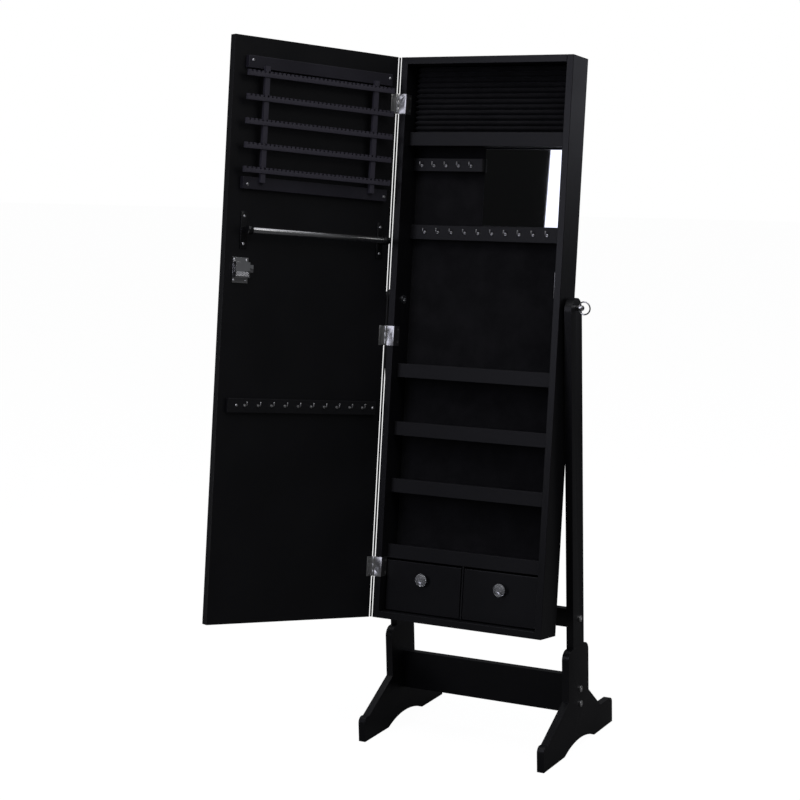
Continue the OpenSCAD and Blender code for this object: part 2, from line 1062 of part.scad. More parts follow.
module door_screws() {
    leaf_screw_l = 10;
    cleat_screw_u = [28, 363];
    cleat_screw_z = [10, 16];
    bar_screw_z = 15;
    bracket_screw = 28;
    bracket_plate_t = 3;
    lock_screw_x = [148.5, 177];
    lock_screw_z = [705.5, 747.5];
    lock_plate_t = 2;
    color(steel)
        on_door() {
            for (z = hinge_z, side = [-1, 1])
                translate([leaf_screw - half_w, door_y + leaf_t, z + side * hinge_screw])
                    rotate([-90, 0, 0])
                        flush_screw(leaf_screw_l);
            for (u = cleat_screw_u) {
                for (i = [0, 1])
                    door_screw(u0 + u, cleat_z[i] + cleat_screw_z[i], cleat_t);
                door_screw(u0 + u - 1.5, door_bar_z + bar_screw_z, door_bar_t);
            }
            for (u = rod_u, side = [-1, 1])
                door_screw(u0 + u, rod_z + side * bracket_screw, bracket_plate_t);
            for (x = lock_screw_x, z = lock_screw_z)
                door_screw(x, z, lock_plate_t);
        }
}

post(-1);  // post_left
post(1);  // post_right
foot(-1);  // foot_left
foot(1);  // foot_right
stretcher_board();
rear_rail();
stand_bolts();
barrel_nuts();
pivot_screw(-1);  // pivot_screw_left
pivot_screw(1);  // pivot_screw_right
pull_ring(-1);  // pull_ring_left
pull_ring(1);  // pull_ring_right
pivot_spacers();
pivot_inserts();
side_panel(-1);  // side_panel_left
side_panel(1);  // side_panel_right
top_panel();
bottom_panel();
back_panel();
back_lining();
ring_cushion();
ring_shelf_board();
ring_shelf_lip();
vanity_mirror();
upper_hook_bar();
lower_hook_bar();
cabinet_hooks();
shelf_board(shelf_z[0]);  // shelf_board_1
shelf_board(shelf_z[1]);  // shelf_board_2
shelf_board(shelf_z[2]);  // shelf_board_3
shelf_board(shelf_z[3]);  // shelf_board_4
shelf_lip(shelf_z[0], lip_h);  // shelf_lip_1
shelf_lip(shelf_z[1], lip_h);  // shelf_lip_2
shelf_lip(shelf_z[2], lip_h);  // shelf_lip_3
shelf_lip(shelf_z[3], lip_h);  // shelf_lip_4
drawer_divider();
hinge_frame_leaves();
strike_plate();
cabinet_screws();
drawer_front(-1);  // drawer_front_left
drawer_front(1);  // drawer_front_right
drawer_tray(-1);  // drawer_tray_left
drawer_tray(1);  // drawer_tray_right
knob(-1);  // knob_left
knob(1);  // knob_right
door_panel();
door_mirror();
hinge_door_leaves();
hinge_pins();
earring_cleats();
earring_bars();
earring_strips();
rod_brackets();
scarf_rod();
lock_housing();
lock_bolt();
lock_plug();
door_hook_bar();
door_hooks();
door_screws();
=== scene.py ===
# %% [markdown]
# # A free-standing jewelry armoire
# A shallow mirror cabinet hangs between two posts on two screws, so that it can lean back.
# Its door is swung open and shows what it holds: earring strips, a scarf rod, hooks, shelves,
# a padded ring bed and two small drawers. This file dresses the measured model in real finishes.
# We start by loading that model. It comes with a size, a place and a body for every part.

import json
from math import atan2, cos, pi, radians, sin, sqrt

import bmesh
import bpy
from mathutils import Matrix, Vector, noise


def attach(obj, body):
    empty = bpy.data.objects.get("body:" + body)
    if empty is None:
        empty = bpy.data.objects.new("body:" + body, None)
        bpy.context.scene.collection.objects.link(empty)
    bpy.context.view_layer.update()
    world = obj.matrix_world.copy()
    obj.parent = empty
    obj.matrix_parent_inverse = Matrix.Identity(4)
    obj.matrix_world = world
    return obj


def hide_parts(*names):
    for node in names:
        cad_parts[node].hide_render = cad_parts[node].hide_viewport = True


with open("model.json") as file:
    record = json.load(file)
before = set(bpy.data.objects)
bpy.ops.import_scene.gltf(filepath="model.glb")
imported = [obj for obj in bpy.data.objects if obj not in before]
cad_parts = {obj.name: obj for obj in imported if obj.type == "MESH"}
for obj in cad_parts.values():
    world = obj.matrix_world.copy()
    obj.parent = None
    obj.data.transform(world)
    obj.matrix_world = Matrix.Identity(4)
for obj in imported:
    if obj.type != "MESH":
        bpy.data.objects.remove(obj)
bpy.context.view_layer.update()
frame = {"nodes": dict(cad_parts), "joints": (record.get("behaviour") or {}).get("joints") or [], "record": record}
nodes = frame["nodes"]
joints = {joint["name"]: joint for joint in frame["joints"]}
body_of_node = {
    node: body
    for body, members in frame["record"]["behaviour"]["bodies"].items()
    for node in members
}

# %% [markdown]
# ## Two drawing boards
# The cabinet leans back and its door is open, so nothing on them is square to the world.
# One way out is to turn every piece after it is made. It is simpler to draw each piece upright,
# in millimetres, on a flat drawing board, and to let one matrix carry it to its place.
# The cabinet's board has its origin at the middle of the front lower edge. The door's board is
# the same one with the door shut, so its matrix also swings the piece about the hinge.

# %% The cabinet's board and the door's board
MM = 0.001
PIVOT_IN, PIVOT_UP = 38, 686
HINGE = Vector((-203.3, -1.2, 0))

upright = -Vector(joints["door_swing"]["axis"])
lean = atan2(upright.y, upright.z)
swing = radians(-joints["door_swing"]["range_deg"][0])
pivot = Vector(joints["cabinet_tilt"]["pos_m"])

IN_CABINET = (
    Matrix.Translation(pivot)
    @ Matrix.Rotation(-lean, 4, "X")
    @ Matrix.Scale(MM, 4)
    @ Matrix.Translation((0, -PIVOT_IN, -PIVOT_UP))
)
ON_DOOR = (
    IN_CABINET
    @ Matrix.Translation(HINGE)
    @ Matrix.Rotation(-swing, 4, "Z")
    @ Matrix.Translation(-HINGE)
)
print("lean", round(lean * 180 / pi, 2), "degrees, door open", round(swing * 180 / pi, 1))

# %% [markdown]
# ## Writing shader maths as plain sums
# A node tree is hard to read as code. The small class `Flow` wraps a socket, so that
# `1 - mask * 0.5` adds the Math nodes by itself. `Finish` holds one material: its `add` method
# makes any other node from its type, its settings and what goes into its sockets.

# %% Flow and Finish
class Flow:
    """A number that flows out of a shader node and can be used in sums."""

    def __init__(self, finish, socket):
        self.finish = finish
        self.socket = socket

    def _sum(self, operation, first, second):
        node = self.finish.add("ShaderNodeMath", {"operation": operation}, {0: first, 1: second})
        return Flow(self.finish, node.outputs[0])

    def __add__(self, other):
        return self._sum("ADD", self, other)

    def __radd__(self, other):
        return self._sum("ADD", other, self)

    def __sub__(self, other):
        return self._sum("SUBTRACT", self, other)

    def __rsub__(self, other):
        return self._sum("SUBTRACT", other, self)

    def __mul__(self, other):
        return self._sum("MULTIPLY", self, other)

    def __rmul__(self, other):
        return self._sum("MULTIPLY", other, self)


class Finish:
    """One material, built from a Principled shader and the nodes that feed it."""

    def __init__(self, name, **constants):
        self.material = bpy.data.materials.new(name)
        self.material.use_nodes = True
        self.tree = self.material.node_tree
        self.tree.nodes.clear()
        self.shader = self.add("ShaderNodeBsdfPrincipled", {}, {
            key.replace("_", " "): value for key, value in constants.items()
        })
        output = self.tree.nodes.new("ShaderNodeOutputMaterial")
        self.tree.links.new(self.shader.outputs[0], output.inputs[0])
        self.material.diffuse_color = self.shader.inputs["Base Color"].default_value

    def socket(self, node, key):
        if isinstance(key, int):
            return node.inputs[key]
        return [s for s in node.inputs if s.enabled and s.name == key][0]

    def add(self, kind, settings=None, inputs=None):
        node = self.tree.nodes.new(kind)
        for key, value in (settings or {}).items():
            if key == "stops":
                self.set_ramp(node.color_ramp, value)
            else:
                setattr(node, key, value)
        for key, value in (inputs or {}).items():
            self.feed(self.socket(node, key), value)
        return node

    def set_ramp(self, ramp, stops):
        while len(ramp.elements) < len(stops):
            ramp.elements.new(1.0)
        for element, (place, value) in zip(ramp.elements, stops):
            element.position = place
            element.color = (value, value, value, 1) if isinstance(value, (int, float)) else (*value, 1)

    def feed(self, socket, value):
        if isinstance(value, Flow):
            value = value.socket
        if isinstance(value, bpy.types.NodeSocket):
            self.tree.links.new(value, socket)
        elif socket.type == "RGBA" and len(value) == 3:
            socket.default_value = (*value, 1)
        else:
            socket.default_value = value

    def place(self, turn=(0, 0, 0), stretch=(1, 1, 1)):
        """The piece's own coordinates, turned and stretched for a pattern."""
        source = self.add("ShaderNodeTexCoord").outputs["Object"]
        inputs = {"Vector": source, "Rotation": turn, "Scale": stretch}
        return self.add("ShaderNodeMapping", {}, inputs).outputs[0]

    def noise(self, where, scale, detail=2, roughness=0.5):
        node = self.add("ShaderNodeTexNoise", {}, {
            "Vector": where, "Scale": scale, "Detail": detail, "Roughness": roughness,
        })
        return Flow(self, node.outputs[0])

    def ramp(self, value, stops):
        node = self.add("ShaderNodeValToRGB", {"stops": stops}, {"Fac": value})
        return node.outputs[0]

    def blend(self, factor, first, second):
        node = self.add("ShaderNodeMix", {"data_type": "RGBA"}, {"Factor": factor, "A": first, "B": second})
        return [s for s in node.outputs if s.enabled][0]

    def bump(self, height, distance):
        return self.add("ShaderNodeBump", {}, {"Height": height, "Distance": distance}).outputs[0]

    def drive(self, **links):
        for key, value in links.items():
            self.feed(self.shader.inputs[key.replace("_", " ")], value)
        return self.material


# %% [markdown]
# ## Black paint on fibreboard
# The body is fibreboard, primed and sprayed satin black. Seen close, sprayed paint is never a
# mirror: it has a fine orange peel, a few denser patches and some dust. Two noises make the
# relief, and a third, much larger one shifts the gloss, which is what the eye reads as paint.
# The same recipe with other numbers gives the softer charcoal finish of the inner fittings, the
# greyer one of the earring rack's cleats, and the dull one inside the drawers.

# %% Paints
DOOR_TURN = (lean, 0, swing)


def painted(name, colour, lighter, gloss, peel):
    paint = Finish(name, Base_Color=colour, Roughness=gloss, Specular_IOR_Level=0.5, IOR=1.46)
    where = paint.place()
    cloud = paint.noise(where, 7, 3)
    fine = paint.noise(where, 420, 2)
    dust = paint.noise(where, 1500, 1)
    patch = paint.ramp(cloud, [(0.35, 0.0), (0.7, 1.0)])
    return paint.drive(
        Base_Color=paint.blend(patch, colour, lighter),
        Roughness=gloss + cloud * 0.14 - 0.07 + dust * 0.05,
        Normal=paint.bump(fine + dust * 0.3, peel),
    )


BLACK = painted("black_paint", (0.0060, 0.0060, 0.0074), (0.0086, 0.0085, 0.0104), 0.34, 0.00006)
CHARCOAL = painted("charcoal_paint", (0.0085, 0.0084, 0.0100), (0.0120, 0.0118, 0.0142), 0.42, 0.00008)
WASHED_GREY = painted("washed_grey_paint", (0.026, 0.0245, 0.034), (0.038, 0.036, 0.049), 0.40, 0.00008)
TRAY_BLACK = painted("tray_paint", (0.006, 0.006, 0.007), (0.009, 0.009, 0.010), 0.55, 0.0001)

# %% [markdown]
# ## Velvet
# The back wall, the shelves, the drawers and the ring bed are lined with black velvet. Velvet is
# thousands of upright hairs: it is darkest where you look into the pile and pale where you graze
# it. Cycles has that effect built in as sheen. Crushed patches come from a slow noise that shifts
# both colour and roughness, and the pile itself is a very fine bump.

# %% Velvet
def velvet_of(name, colour, crushed):
    cloth = Finish(name, Base_Color=colour, Roughness=0.95, Specular_IOR_Level=0.15)
    cloth.shader.inputs["Sheen Weight"].default_value = 0.10
    cloth.shader.inputs["Sheen Roughness"].default_value = 0.45
    cloth.shader.inputs["Sheen Tint"].default_value = (0.75, 0.75, 0.85, 1)
    where = cloth.place()
    nap = cloth.noise(where, 16, 4, 0.6)
    pile = cloth.noise(where, 2600, 2, 0.7)
    patch = cloth.ramp(nap, [(0.38, 0.0), (0.62, 1.0)])
    return cloth.drive(
        Base_Color=cloth.blend(patch, colour, crushed),
        Roughness=0.88 + nap * 0.1,
        Normal=cloth.bump(pile + nap * 0.5, 0.00035),
    )


VELVET = velvet_of("black_velvet", (0.0130, 0.0128, 0.0146), (0.0200, 0.0196, 0.0220))

# %% [markdown]
# ## Metals
# The hinges, hooks and screws are nickel plated, the lock and pivot screws are chromed, and the
# scarf rod is drawn tube, so its scratches run along it. A plated part is a full metal with a
# light colour. What tells them apart is how rough they are and which way the fine lines run, so
# one function makes them all.

# %% Metals
def plated(name, colour, gloss, scratch, turn=(0, 0, 0), stretch=(1, 1, 1), scale=900):
    metal = Finish(name, Base_Color=colour, Metallic=1.0, Roughness=gloss)
    where = metal.place(turn, stretch)
    line = metal.noise(where, scale, 3, 0.6)
    cloud = metal.noise(metal.place(), 60, 2)
    darker = tuple(c * 0.82 for c in colour)
    return metal.drive(
        Base_Color=metal.blend(cloud, darker, colour),
        Roughness=gloss + line * 0.10 - 0.05,
        Normal=metal.bump(line, scratch),
    )


NICKEL = plated("nickel_plate", (0.88, 0.88, 0.87), 0.30, 0.00002)
CHROME = plated("chrome_plate", (0.86, 0.86, 0.87), 0.09, 0.000008)
ZINC = plated("zinc_plate", (0.62, 0.63, 0.65), 0.34, 0.00004)
DRAWN_TUBE = plated("drawn_tube", (0.74, 0.74, 0.75), 0.26, 0.00003, DOOR_TURN, (0.02, 1, 1), 1400)

# %% [markdown]
# ## Plastics, glass and mirrors
# The earring strips are moulded grey plastic with a slightly sandy skin, and the rod's brackets
# are glossy black plastic. A mirror is a metal with almost no roughness; a real one is a touch
# green from its glass. The drawer knobs are cut glass.

# %% Plastics, glass and mirrors
def moulded(name, colour, gloss, grain):
    plastic = Finish(name, Base_Color=colour, Roughness=gloss, IOR=1.5)
    where = plastic.place()
    skin = plastic.noise(where, 1800, 2)
    cloud = plastic.noise(where, 30, 2)
    paler = tuple(min(1.0, c * 1.25) for c in colour)
    return plastic.drive(
        Base_Color=plastic.blend(cloud, colour, paler),
        Roughness=gloss + cloud * 0.1 - 0.05,
        Normal=plastic.bump(skin, grain),
    )


def silvered(name, colour, gloss):
    mirror = Finish(name, Base_Color=colour, Metallic=1.0, Roughness=gloss)
    haze = mirror.noise(mirror.place(), 9, 3)
    return mirror.drive(Roughness=gloss + haze * 0.012)


COMB_GREY = moulded("comb_plastic", (0.060, 0.056, 0.074), 0.36, 0.00005)
BRACKET_BLACK = moulded("bracket_plastic", (0.008, 0.008, 0.009), 0.2, 0.00002)
SPACER_BLACK = moulded("spacer_plastic", (0.012, 0.012, 0.012), 0.5, 0.00006)
MIRROR = silvered("silvered_glass", (0.90, 0.925, 0.92), 0.006)


def cut_glass(name):
    glass = Finish(name, Base_Color=(0.97, 0.98, 1.0), Roughness=0.015, IOR=1.54)
    glass.shader.inputs["Transmission Weight"].default_value = 0.75
    flaw = glass.noise(glass.place(), 300, 2)
    return glass.drive(Roughness=0.01 + flaw * 0.03)


CUT_GLASS = cut_glass("cut_glass")
print(len(bpy.data.materials), "finishes")

# %% [markdown]
# ## From a drawing to a finished piece
# Every new piece ends the same way. Its mesh is carried from its drawing board to its place, it
# gets its finish, and it is tied to the body that it moves with. Round stretches are shaded
# smooth and real corners stay sharp. One function does it, so that no piece is forgotten.

# %% finish_piece
def finish_piece(name, bm, board, material, body, stands_for=(), smooth=30):
    bm.transform(board)
    bmesh.ops.recalc_face_normals(bm, faces=bm.faces)
    mesh = bpy.data.meshes.new(name)
    bm.to_mesh(mesh)
    bm.free()
    mesh.materials.append(material)
    mesh.polygons.foreach_set("use_smooth", [True] * len(mesh.polygons))
    mesh.set_sharp_from_angle(angle=radians(smooth))
    piece = bpy.data.objects.new(name, mesh)
    bpy.context.scene.collection.objects.link(piece)
    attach(piece, body)
    if stands_for:
        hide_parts(*stands_for)
    return piece


# %% [markdown]
# ## Easing the edges
# A board straight from the drawing has knife edges, and they look wrong because no real edge is
# that sharp: sanding and paint round it, and the rounding catches a thin line of light. We could
# redraw each board, but its measured mesh already has the right size. So we copy that mesh, weld
# its loose triangles, dissolve the flat ones and bevel only the true corners.

# %% eased
WELD = 3e-6
FLAT = radians(0.5)
CORNER = radians(32)


def eased(node, material, width, steps=2, smooth=14):
    bm = bmesh.new()
    bm.from_mesh(nodes[node].data)
    bmesh.ops.remove_doubles(bm, verts=bm.verts, dist=WELD)
    bmesh.ops.dissolve_limit(bm, angle_limit=FLAT, verts=bm.verts, edges=bm.edges,
                             use_dissolve_boundaries=False)
    corners = [e for e in bm.edges if len(e.link_faces) == 2 and e.calc_face_angle(0) > CORNER]
    bmesh.ops.bevel(bm, geom=corners, offset=width * MM, offset_type="OFFSET", segments=steps,
                    profile=0.5, affect="EDGES", clamp_overlap=True, material=-1)
    return finish_piece(f"{node}_eased", bm, Matrix.Identity(4), material, body_of_node[node],
                        [node], smooth)


# %% [markdown]
# ## The boards of the cabinet, the door and the stand
# The carcass and the door have a small sanded edge. The stand's posts and feet are routed rounder,
# because hands and ankles meet them, so their shoulders shine.

# %% Boards
CARCASS = ["side_panel_left", "side_panel_right", "top_panel", "bottom_panel", "door_panel"]
STAND = ["post_left", "post_right", "foot_left", "foot_right", "stretcher_board", "rear_rail"]
FITTINGS = [
    "ring_shelf_board", "ring_shelf_lip", "upper_hook_bar", "lower_hook_bar", "drawer_divider",
    "door_hook_bar",
    *[f"shelf_board_{i}" for i in range(1, 5)], *[f"shelf_lip_{i}" for i in range(1, 5)],
]
for node in CARCASS:
    eased(node, BLACK, 0.9, 3)
for node in STAND:
    eased(node, BLACK, 2.2, 4)
for node in FITTINGS:
    eased(node, CHARCOAL, 0.8, 3)
for node in ["drawer_front_left", "drawer_front_right"]:
    eased(node, BLACK, 1.2, 3)
for node in ["drawer_tray_left", "drawer_tray_right"]:
    eased(node, TRAY_BLACK, 0.5, 2)
eased("back_panel", BLACK, 0.3, 1)
eased("earring_cleats", WASHED_GREY, 0.8, 3)
for node in ["earring_bars", "earring_strips"]:
    eased(node, COMB_GREY, 0.35, 2)
eased("rod_brackets", BRACKET_BLACK, 0.5, 2, 30)
print("boards eased")

# %% [markdown]
# ## Metal parts, with their sharp rims broken
# A turned or stamped part also has a small edge: the tool that makes it breaks the burr, and
# plating builds up on it. Round parts get a wider smoothing angle, so that their sides stay round.

# %% Metal parts
METAL_EDGES = {
    "hinge_frame_leaves": (NICKEL, 0.25), "hinge_door_leaves": (NICKEL, 0.25),
    "hinge_pins": (NICKEL, 0.4), "strike_plate": (NICKEL, 0.3), "stand_bolts": (NICKEL, 0.5),
    "pivot_screw_left": (CHROME, 0.6), "pivot_screw_right": (CHROME, 0.6),
    "pull_ring_left": (CHROME, 0.2), "pull_ring_right": (CHROME, 0.2),
    "pivot_spacers": (SPACER_BLACK, 0.5), "scarf_rod": (DRAWN_TUBE, 0.8),
    "lock_housing": (CHROME, 0.7), "lock_bolt": (CHROME, 0.3), "lock_plug": (CHROME, 0.4),
}
for node, (material, width) in METAL_EDGES.items():
    eased(node, material, width, 2, 30)
print(len(METAL_EDGES), "metal parts eased")

# %% [markdown]
# ## Bevelled mirrors
# Furniture mirrors have a flat bevel ground along the edge. It bends the reflection and draws a
# bright line around the glass. One segment is right here, because the ground face is flat.

# %% Mirrors
eased("door_mirror", MIRROR, 2.4, 1, 5)
eased("vanity_mirror", MIRROR, 1.6, 1, 5)

# %% [markdown]
# ## A ring bed of velvet rolls
# Rings are pushed into the grooves between soft rolls. Each roll is a strip of foam wrapped in
# velvet, so we make it as a cylinder, cut along its length, and let a slow noise dent it. At its
# ends the cloth is tucked in. The rolls near the middle of the bed stand out a little further.
# Each roll is made on its own and gathered into the bed afterwards. Cutting edges can renew a
# mesh's points, so a list of older points kept from before the cut can't be trusted.

# %% Ring cushion
ROLLS = 14
BED_LOW, BED_HIGH = 1025, 1184
BED_FRONT, BED_BACK = 38.8, 64.4
BED_HALF = 183.8


def tucked(x, end, length):
    """1 along a roll, and down to a half at its end."""
    past = max(0.0, (abs(x) - (end - length)) / length)
    return sqrt(1 - 0.75 * past * past)


def box_piece(bm, low, high):
    size = Vector(high) - Vector(low)
    middle = (Vector(high) + Vector(low)) / 2
    place = Matrix.Translation(middle) @ Matrix.Diagonal((*size, 1))
    bmesh.ops.create_cube(bm, size=1, matrix=place)


def gather(whole, part):
    """Adds the finished bmesh `part` to the bmesh `whole`."""
    between = bpy.data.meshes.new("between")
    part.to_mesh(between)
    part.free()
    whole.from_mesh(between)
    bpy.data.meshes.remove(between)


def soft_roll(middle, height, depth, half, seed):
    roll = bmesh.new()
    bmesh.ops.create_cone(roll, cap_ends=True, segments=32, radius1=1, radius2=1, depth=2 * BED_HALF,
                          matrix=Matrix.Rotation(pi / 2, 4, "Y"))
    along = [e for e in roll.edges if abs(e.verts[0].co.x - e.verts[1].co.x) > 1]
    bmesh.ops.subdivide_edges(roll, edges=along, cuts=46)
    for v in roll.verts:
        fat = tucked(v.co.x, BED_HALF, 9)
        dent = 0.35 * noise.noise(Vector((v.co.x * 0.03, seed * 3.1, 0)))
        v.co.y = middle + v.co.y * (depth + dent) * fat
        v.co.z = height + v.co.z * half * fat + dent
    return roll


ROLL_DEPTH = 10.5
pitch = (BED_HIGH - BED_LOW) / ROLLS
bm = bmesh.new()
for i in range(ROLLS):
    off_middle = (i + 0.5) / ROLLS * 2 - 1
    middle = BED_FRONT + ROLL_DEPTH + 3.0 * off_middle ** 4
    gather(bm, soft_roll(middle, BED_LOW + pitch * (i + 0.5), ROLL_DEPTH, pitch * 0.53, i))
box_piece(bm, (-BED_HALF, BED_FRONT + 12, BED_LOW + 0.5), (BED_HALF, BED_BACK, BED_HIGH - 0.5))
bed = finish_piece("ring_bed", bm, IN_CABINET, VELVET, "cabinet", ["ring_cushion"], 50)
print("ring bed of", ROLLS, "rolls")

# %% [markdown]
# ## Velvet on the back wall
# The wall's velvet is one cloth, glued flat. A grid is the natural start for a cloth. Glued
# velvet is never perfectly flat, so the grid is fine enough to take a tenth of a millimetre of
# unevenness, which shows as faint clouds in grazing light.

# %% Back wall velvet
WALL_W, WALL_H, WALL_Y, WALL_LOW = 369.6, 1169.6, 64.9, 15.2
bm = bmesh.new()
bmesh.ops.create_grid(bm, x_segments=60, y_segments=190, size=0.5, matrix=Matrix.Rotation(pi / 2, 4, "X"))
for v in bm.verts:
    v.co.x *= WALL_W
    v.co.z = WALL_LOW + (v.co.z + 0.5) * WALL_H
    v.co.y = WALL_Y + 0.12 * noise.noise(Vector((v.co.x, v.co.z, 0)) * 0.02)
wall = finish_piece("wall_velvet", bm, IN_CABINET, VELVET, "cabinet", ["back_lining"], 40)
print("wall velvet", WALL_W, "x", WALL_H, "mm")

# %% [markdown]
# ## Velvet pads on the shelves and in the drawers
# Each shelf and each drawer floor has a thin card wrapped in velvet. It is a flat box with a
# rounded edge, so small things do not rattle on bare board.

# %% Pads
PAD = 1.2
SHELF_UNDERSIDES = [519, 394, 271, 129, 1015]
SHELF_THICK, HALF_PAD = 9.05, 184
PAD_FRONT, PAD_BACK = 32.4, 64.2
TRAY_FRONT, TRAY_BACK = 33.4, 57.6
TRAY_IN, TRAY_OUT, TRAY_FLOOR = 11.4, 174.6, 19.7


def pad(name, low, high, body):
    bm = bmesh.new()
    box_piece(bm, low, high)
    bmesh.ops.bevel(bm, geom=bm.edges[:], offset=0.5, segments=3, profile=0.5, affect="EDGES", material=-1)
    finish_piece(name, bm, IN_CABINET, VELVET, body, smooth=40)


for i, underside in enumerate(SHELF_UNDERSIDES):
    shelf_top = underside + SHELF_THICK
    pad(f"shelf_pad_{i + 1}", (-HALF_PAD, PAD_FRONT, shelf_top), (HALF_PAD, PAD_BACK, shelf_top + PAD),
        "cabinet")
for side, word in ((-1, "left"), (1, "right")):
    low, high = sorted((side * TRAY_IN, side * TRAY_OUT))
    pad(f"tray_pad_{word}", (low, TRAY_FRONT, TRAY_FLOOR), (high, TRAY_BACK, TRAY_FLOOR + PAD),
        f"drawer_{word}")

# %% [markdown]
# ## Cut-glass knobs
# A glass knob is cut like a gem: a small table in front, slanted faces around it, a wide girdle
# and a narrower back. Five rings of points are enough. The hull of those rings is the gem, and
# because every second ring is turned by half a step, its faces come out as kites and triangles.

# %% Knobs
KNOB_X, KNOB_Z, FRONT_Y = 93, 90, 23
# Each ring of the gem: its radius, its height, how many points, and its turn in steps
GEM = [
    (7.0, 18.0, 8, 0.0), (11.6, 15.6, 8, 0.5), (14.0, 11.6, 16, 0.25),
    (11.0, 8.0, 8, 0.0), (7.0, 6.2, 8, 0.5),
]
# The metal foot's outline, from its seat on the drawer to the gem: radius and height
FOOT = [
    (0.01, 0.0), (7.2, 0.0), (7.4, 0.5), (7.0, 1.2), (5.2, 2.0),
    (4.4, 3.2), (4.8, 4.6), (6.6, 6.4), (0.01, 6.4),
]
FACING = Matrix.Rotation(pi / 2, 4, "X")


def knob(side, word):
    seat = Matrix.Translation((side * KNOB_X, FRONT_Y, KNOB_Z)) @ FACING
    bm = bmesh.new()
    for radius, height, points, turn in GEM:
        turned = Matrix.Rotation(turn * 2 * pi / points, 4, "Z")
        lifted = Matrix.Translation((0, 0, height))
        bmesh.ops.create_circle(bm, segments=points, radius=radius, matrix=seat @ lifted @ turned)
    hull = bmesh.ops.convex_hull(bm, input=bm.verts[:])
    bmesh.ops.delete(bm, geom=hull["geom_interior"], context="VERTS")
    bmesh.ops.dissolve_limit(bm, angle_limit=radians(1), verts=bm.verts, edges=bm.edges)
    bmesh.ops.bevel(bm, geom=bm.edges[:], offset=0.18, segments=1, profile=0.5, affect="EDGES", material=-1)
    finish_piece(f"knob_{word}_gem", bm, IN_CABINET, CUT_GLASS, f"drawer_{word}",
                 [f"knob_{word}"], 1)

    bm = bmesh.new()
    points = [bm.verts.new((r, 0, h)) for r, h in FOOT]
    line = [bm.edges.new(pair) for pair in zip(points, points[1:])]
    bmesh.ops.spin(bm, geom=points + line, cent=(0, 0, 0), axis=(0, 0, 1), angle=2 * pi,
                   steps=40, use_merge=True)
    bmesh.ops.remove_doubles(bm, verts=bm.verts, dist=0.02)
    bm.transform(seat)
    finish_piece(f"knob_{word}_foot", bm, IN_CABINET, CHROME, f"drawer_{word}", smooth=30)


knob(-1, "left")
knob(1, "right")

# %% [markdown]
# ## Hooks
# Necklace hooks are bent from one wire. So is ours: a small circle is drawn out, spun a quarter
# turn and drawn up, and a ball closes its tip. A collar covers the hole in the board. One
# function bends a hook, and another sets as many as a row needs side by side.

# %% Hook rows
WIRE, REACH, BEND, TIP = 1.2, 10, 3, 4
BAR_FACE = 50.2
LONG_ROW = {"pitch": 32.15, "count": 10}
SHORT_ROW = {"pitch": 29.6, "count": 5}


def draw_out(bm, edges, step):
    grown = bmesh.ops.extrude_edge_only(bm, edges=edges)["geom"]
    bmesh.ops.translate(bm, vec=step, verts=[g for g in grown if isinstance(g, bmesh.types.BMVert)])
    return [g for g in grown if isinstance(g, bmesh.types.BMEdge) and len(g.link_faces) == 1]


def bent_hook():
    hook = bmesh.new()
    bmesh.ops.create_cone(hook, cap_ends=True, segments=24, radius1=3.2, radius2=2.7, depth=1.2,
                          matrix=Matrix.Translation((0, -0.6, 0)) @ FACING)
    ring = bmesh.ops.create_circle(hook, segments=14, radius=WIRE, matrix=FACING)["verts"]
    edges = draw_out(hook, list({e for v in ring for e in v.link_edges}), (0, BEND - REACH, 0))
    verts = list({v for e in edges for v in e.verts})
    bent = bmesh.ops.spin(hook, geom=verts + edges, cent=(0, BEND - REACH, BEND), axis=(1, 0, 0),
                          angle=-pi / 2, steps=8, use_merge=False)["geom_last"]
    draw_out(hook, [g for g in bent if isinstance(g, bmesh.types.BMEdge)], (0, 0, TIP))
    bmesh.ops.create_uvsphere(hook, u_segments=16, v_segments=10, radius=WIRE * 1.25,
                              matrix=Matrix.Translation((0, -REACH, BEND + TIP)))
    return hook


def hook_row(first, pitch, count):
    row = bmesh.new()
    for i in range(count):
        hook = bent_hook()
        hook.transform(Matrix.Translation(first) @ Matrix.Translation((pitch * i, 0, 0)))
        gather(row, hook)
    return row


rows = bmesh.new()
gather(rows, hook_row((-149.6, BAR_FACE, 833), **LONG_ROW))
gather(rows, hook_row((-165, BAR_FACE, 975), **SHORT_ROW))
finish_piece("cabinet_hook_rows", rows, IN_CABINET, NICKEL, "cabinet", ["cabinet_hooks"], 35)

row = hook_row((0, 0, 0), **LONG_ROW)
row.transform(Matrix.Translation((-148.1, 6.6, 451)) @ Matrix.Scale(-1, 4, (0, 1, 0)))
finish_piece("door_hook_row", row, ON_DOOR, NICKEL, "door", ["door_hooks"], 35)
print("hooks done")

# %% [markdown]
# ## A black bead as painted shade along the hinge line
# A door on butt hinges leaves a slit beside its knuckles, and light would come through it. A round
# black bead is put in that slit as painted shade, on the very line that the door turns about, so the
# door swings around it. It is one cylinder for each stretch between hinges. The measured model has no
# such part. It is our own addition: a dark stand-in that only keeps the slit in shade.

# %% Hinge gap shade, a black bead that paints shade into the slit
BEAD, SHADE_LOW, SHADE_HIGH = 2.0, 1, 1199
HINGE_AT, HINGE_HALF = (110, 607, 1101), 22
ends = [SHADE_LOW, *[z + side * HINGE_HALF for z in HINGE_AT for side in (-1, 1)], SHADE_HIGH]
# The black bead is painted shade: a dark stand-in for the shade in the slit, not a real seal.
shade_bead = bmesh.new()
for low, high in zip(ends[::2], ends[1::2]):
    bmesh.ops.create_cone(shade_bead, cap_ends=True, segments=20, radius1=BEAD, radius2=BEAD, depth=high - low,
                          matrix=Matrix.Translation(HINGE + Vector((0, 0, (low + high) / 2))))
finish_piece("hinge_gap_shade", shade_bead, IN_CABINET, SPACER_BLACK, "cabinet")
print("hinge seal of", len(ends) // 2, "stretches")

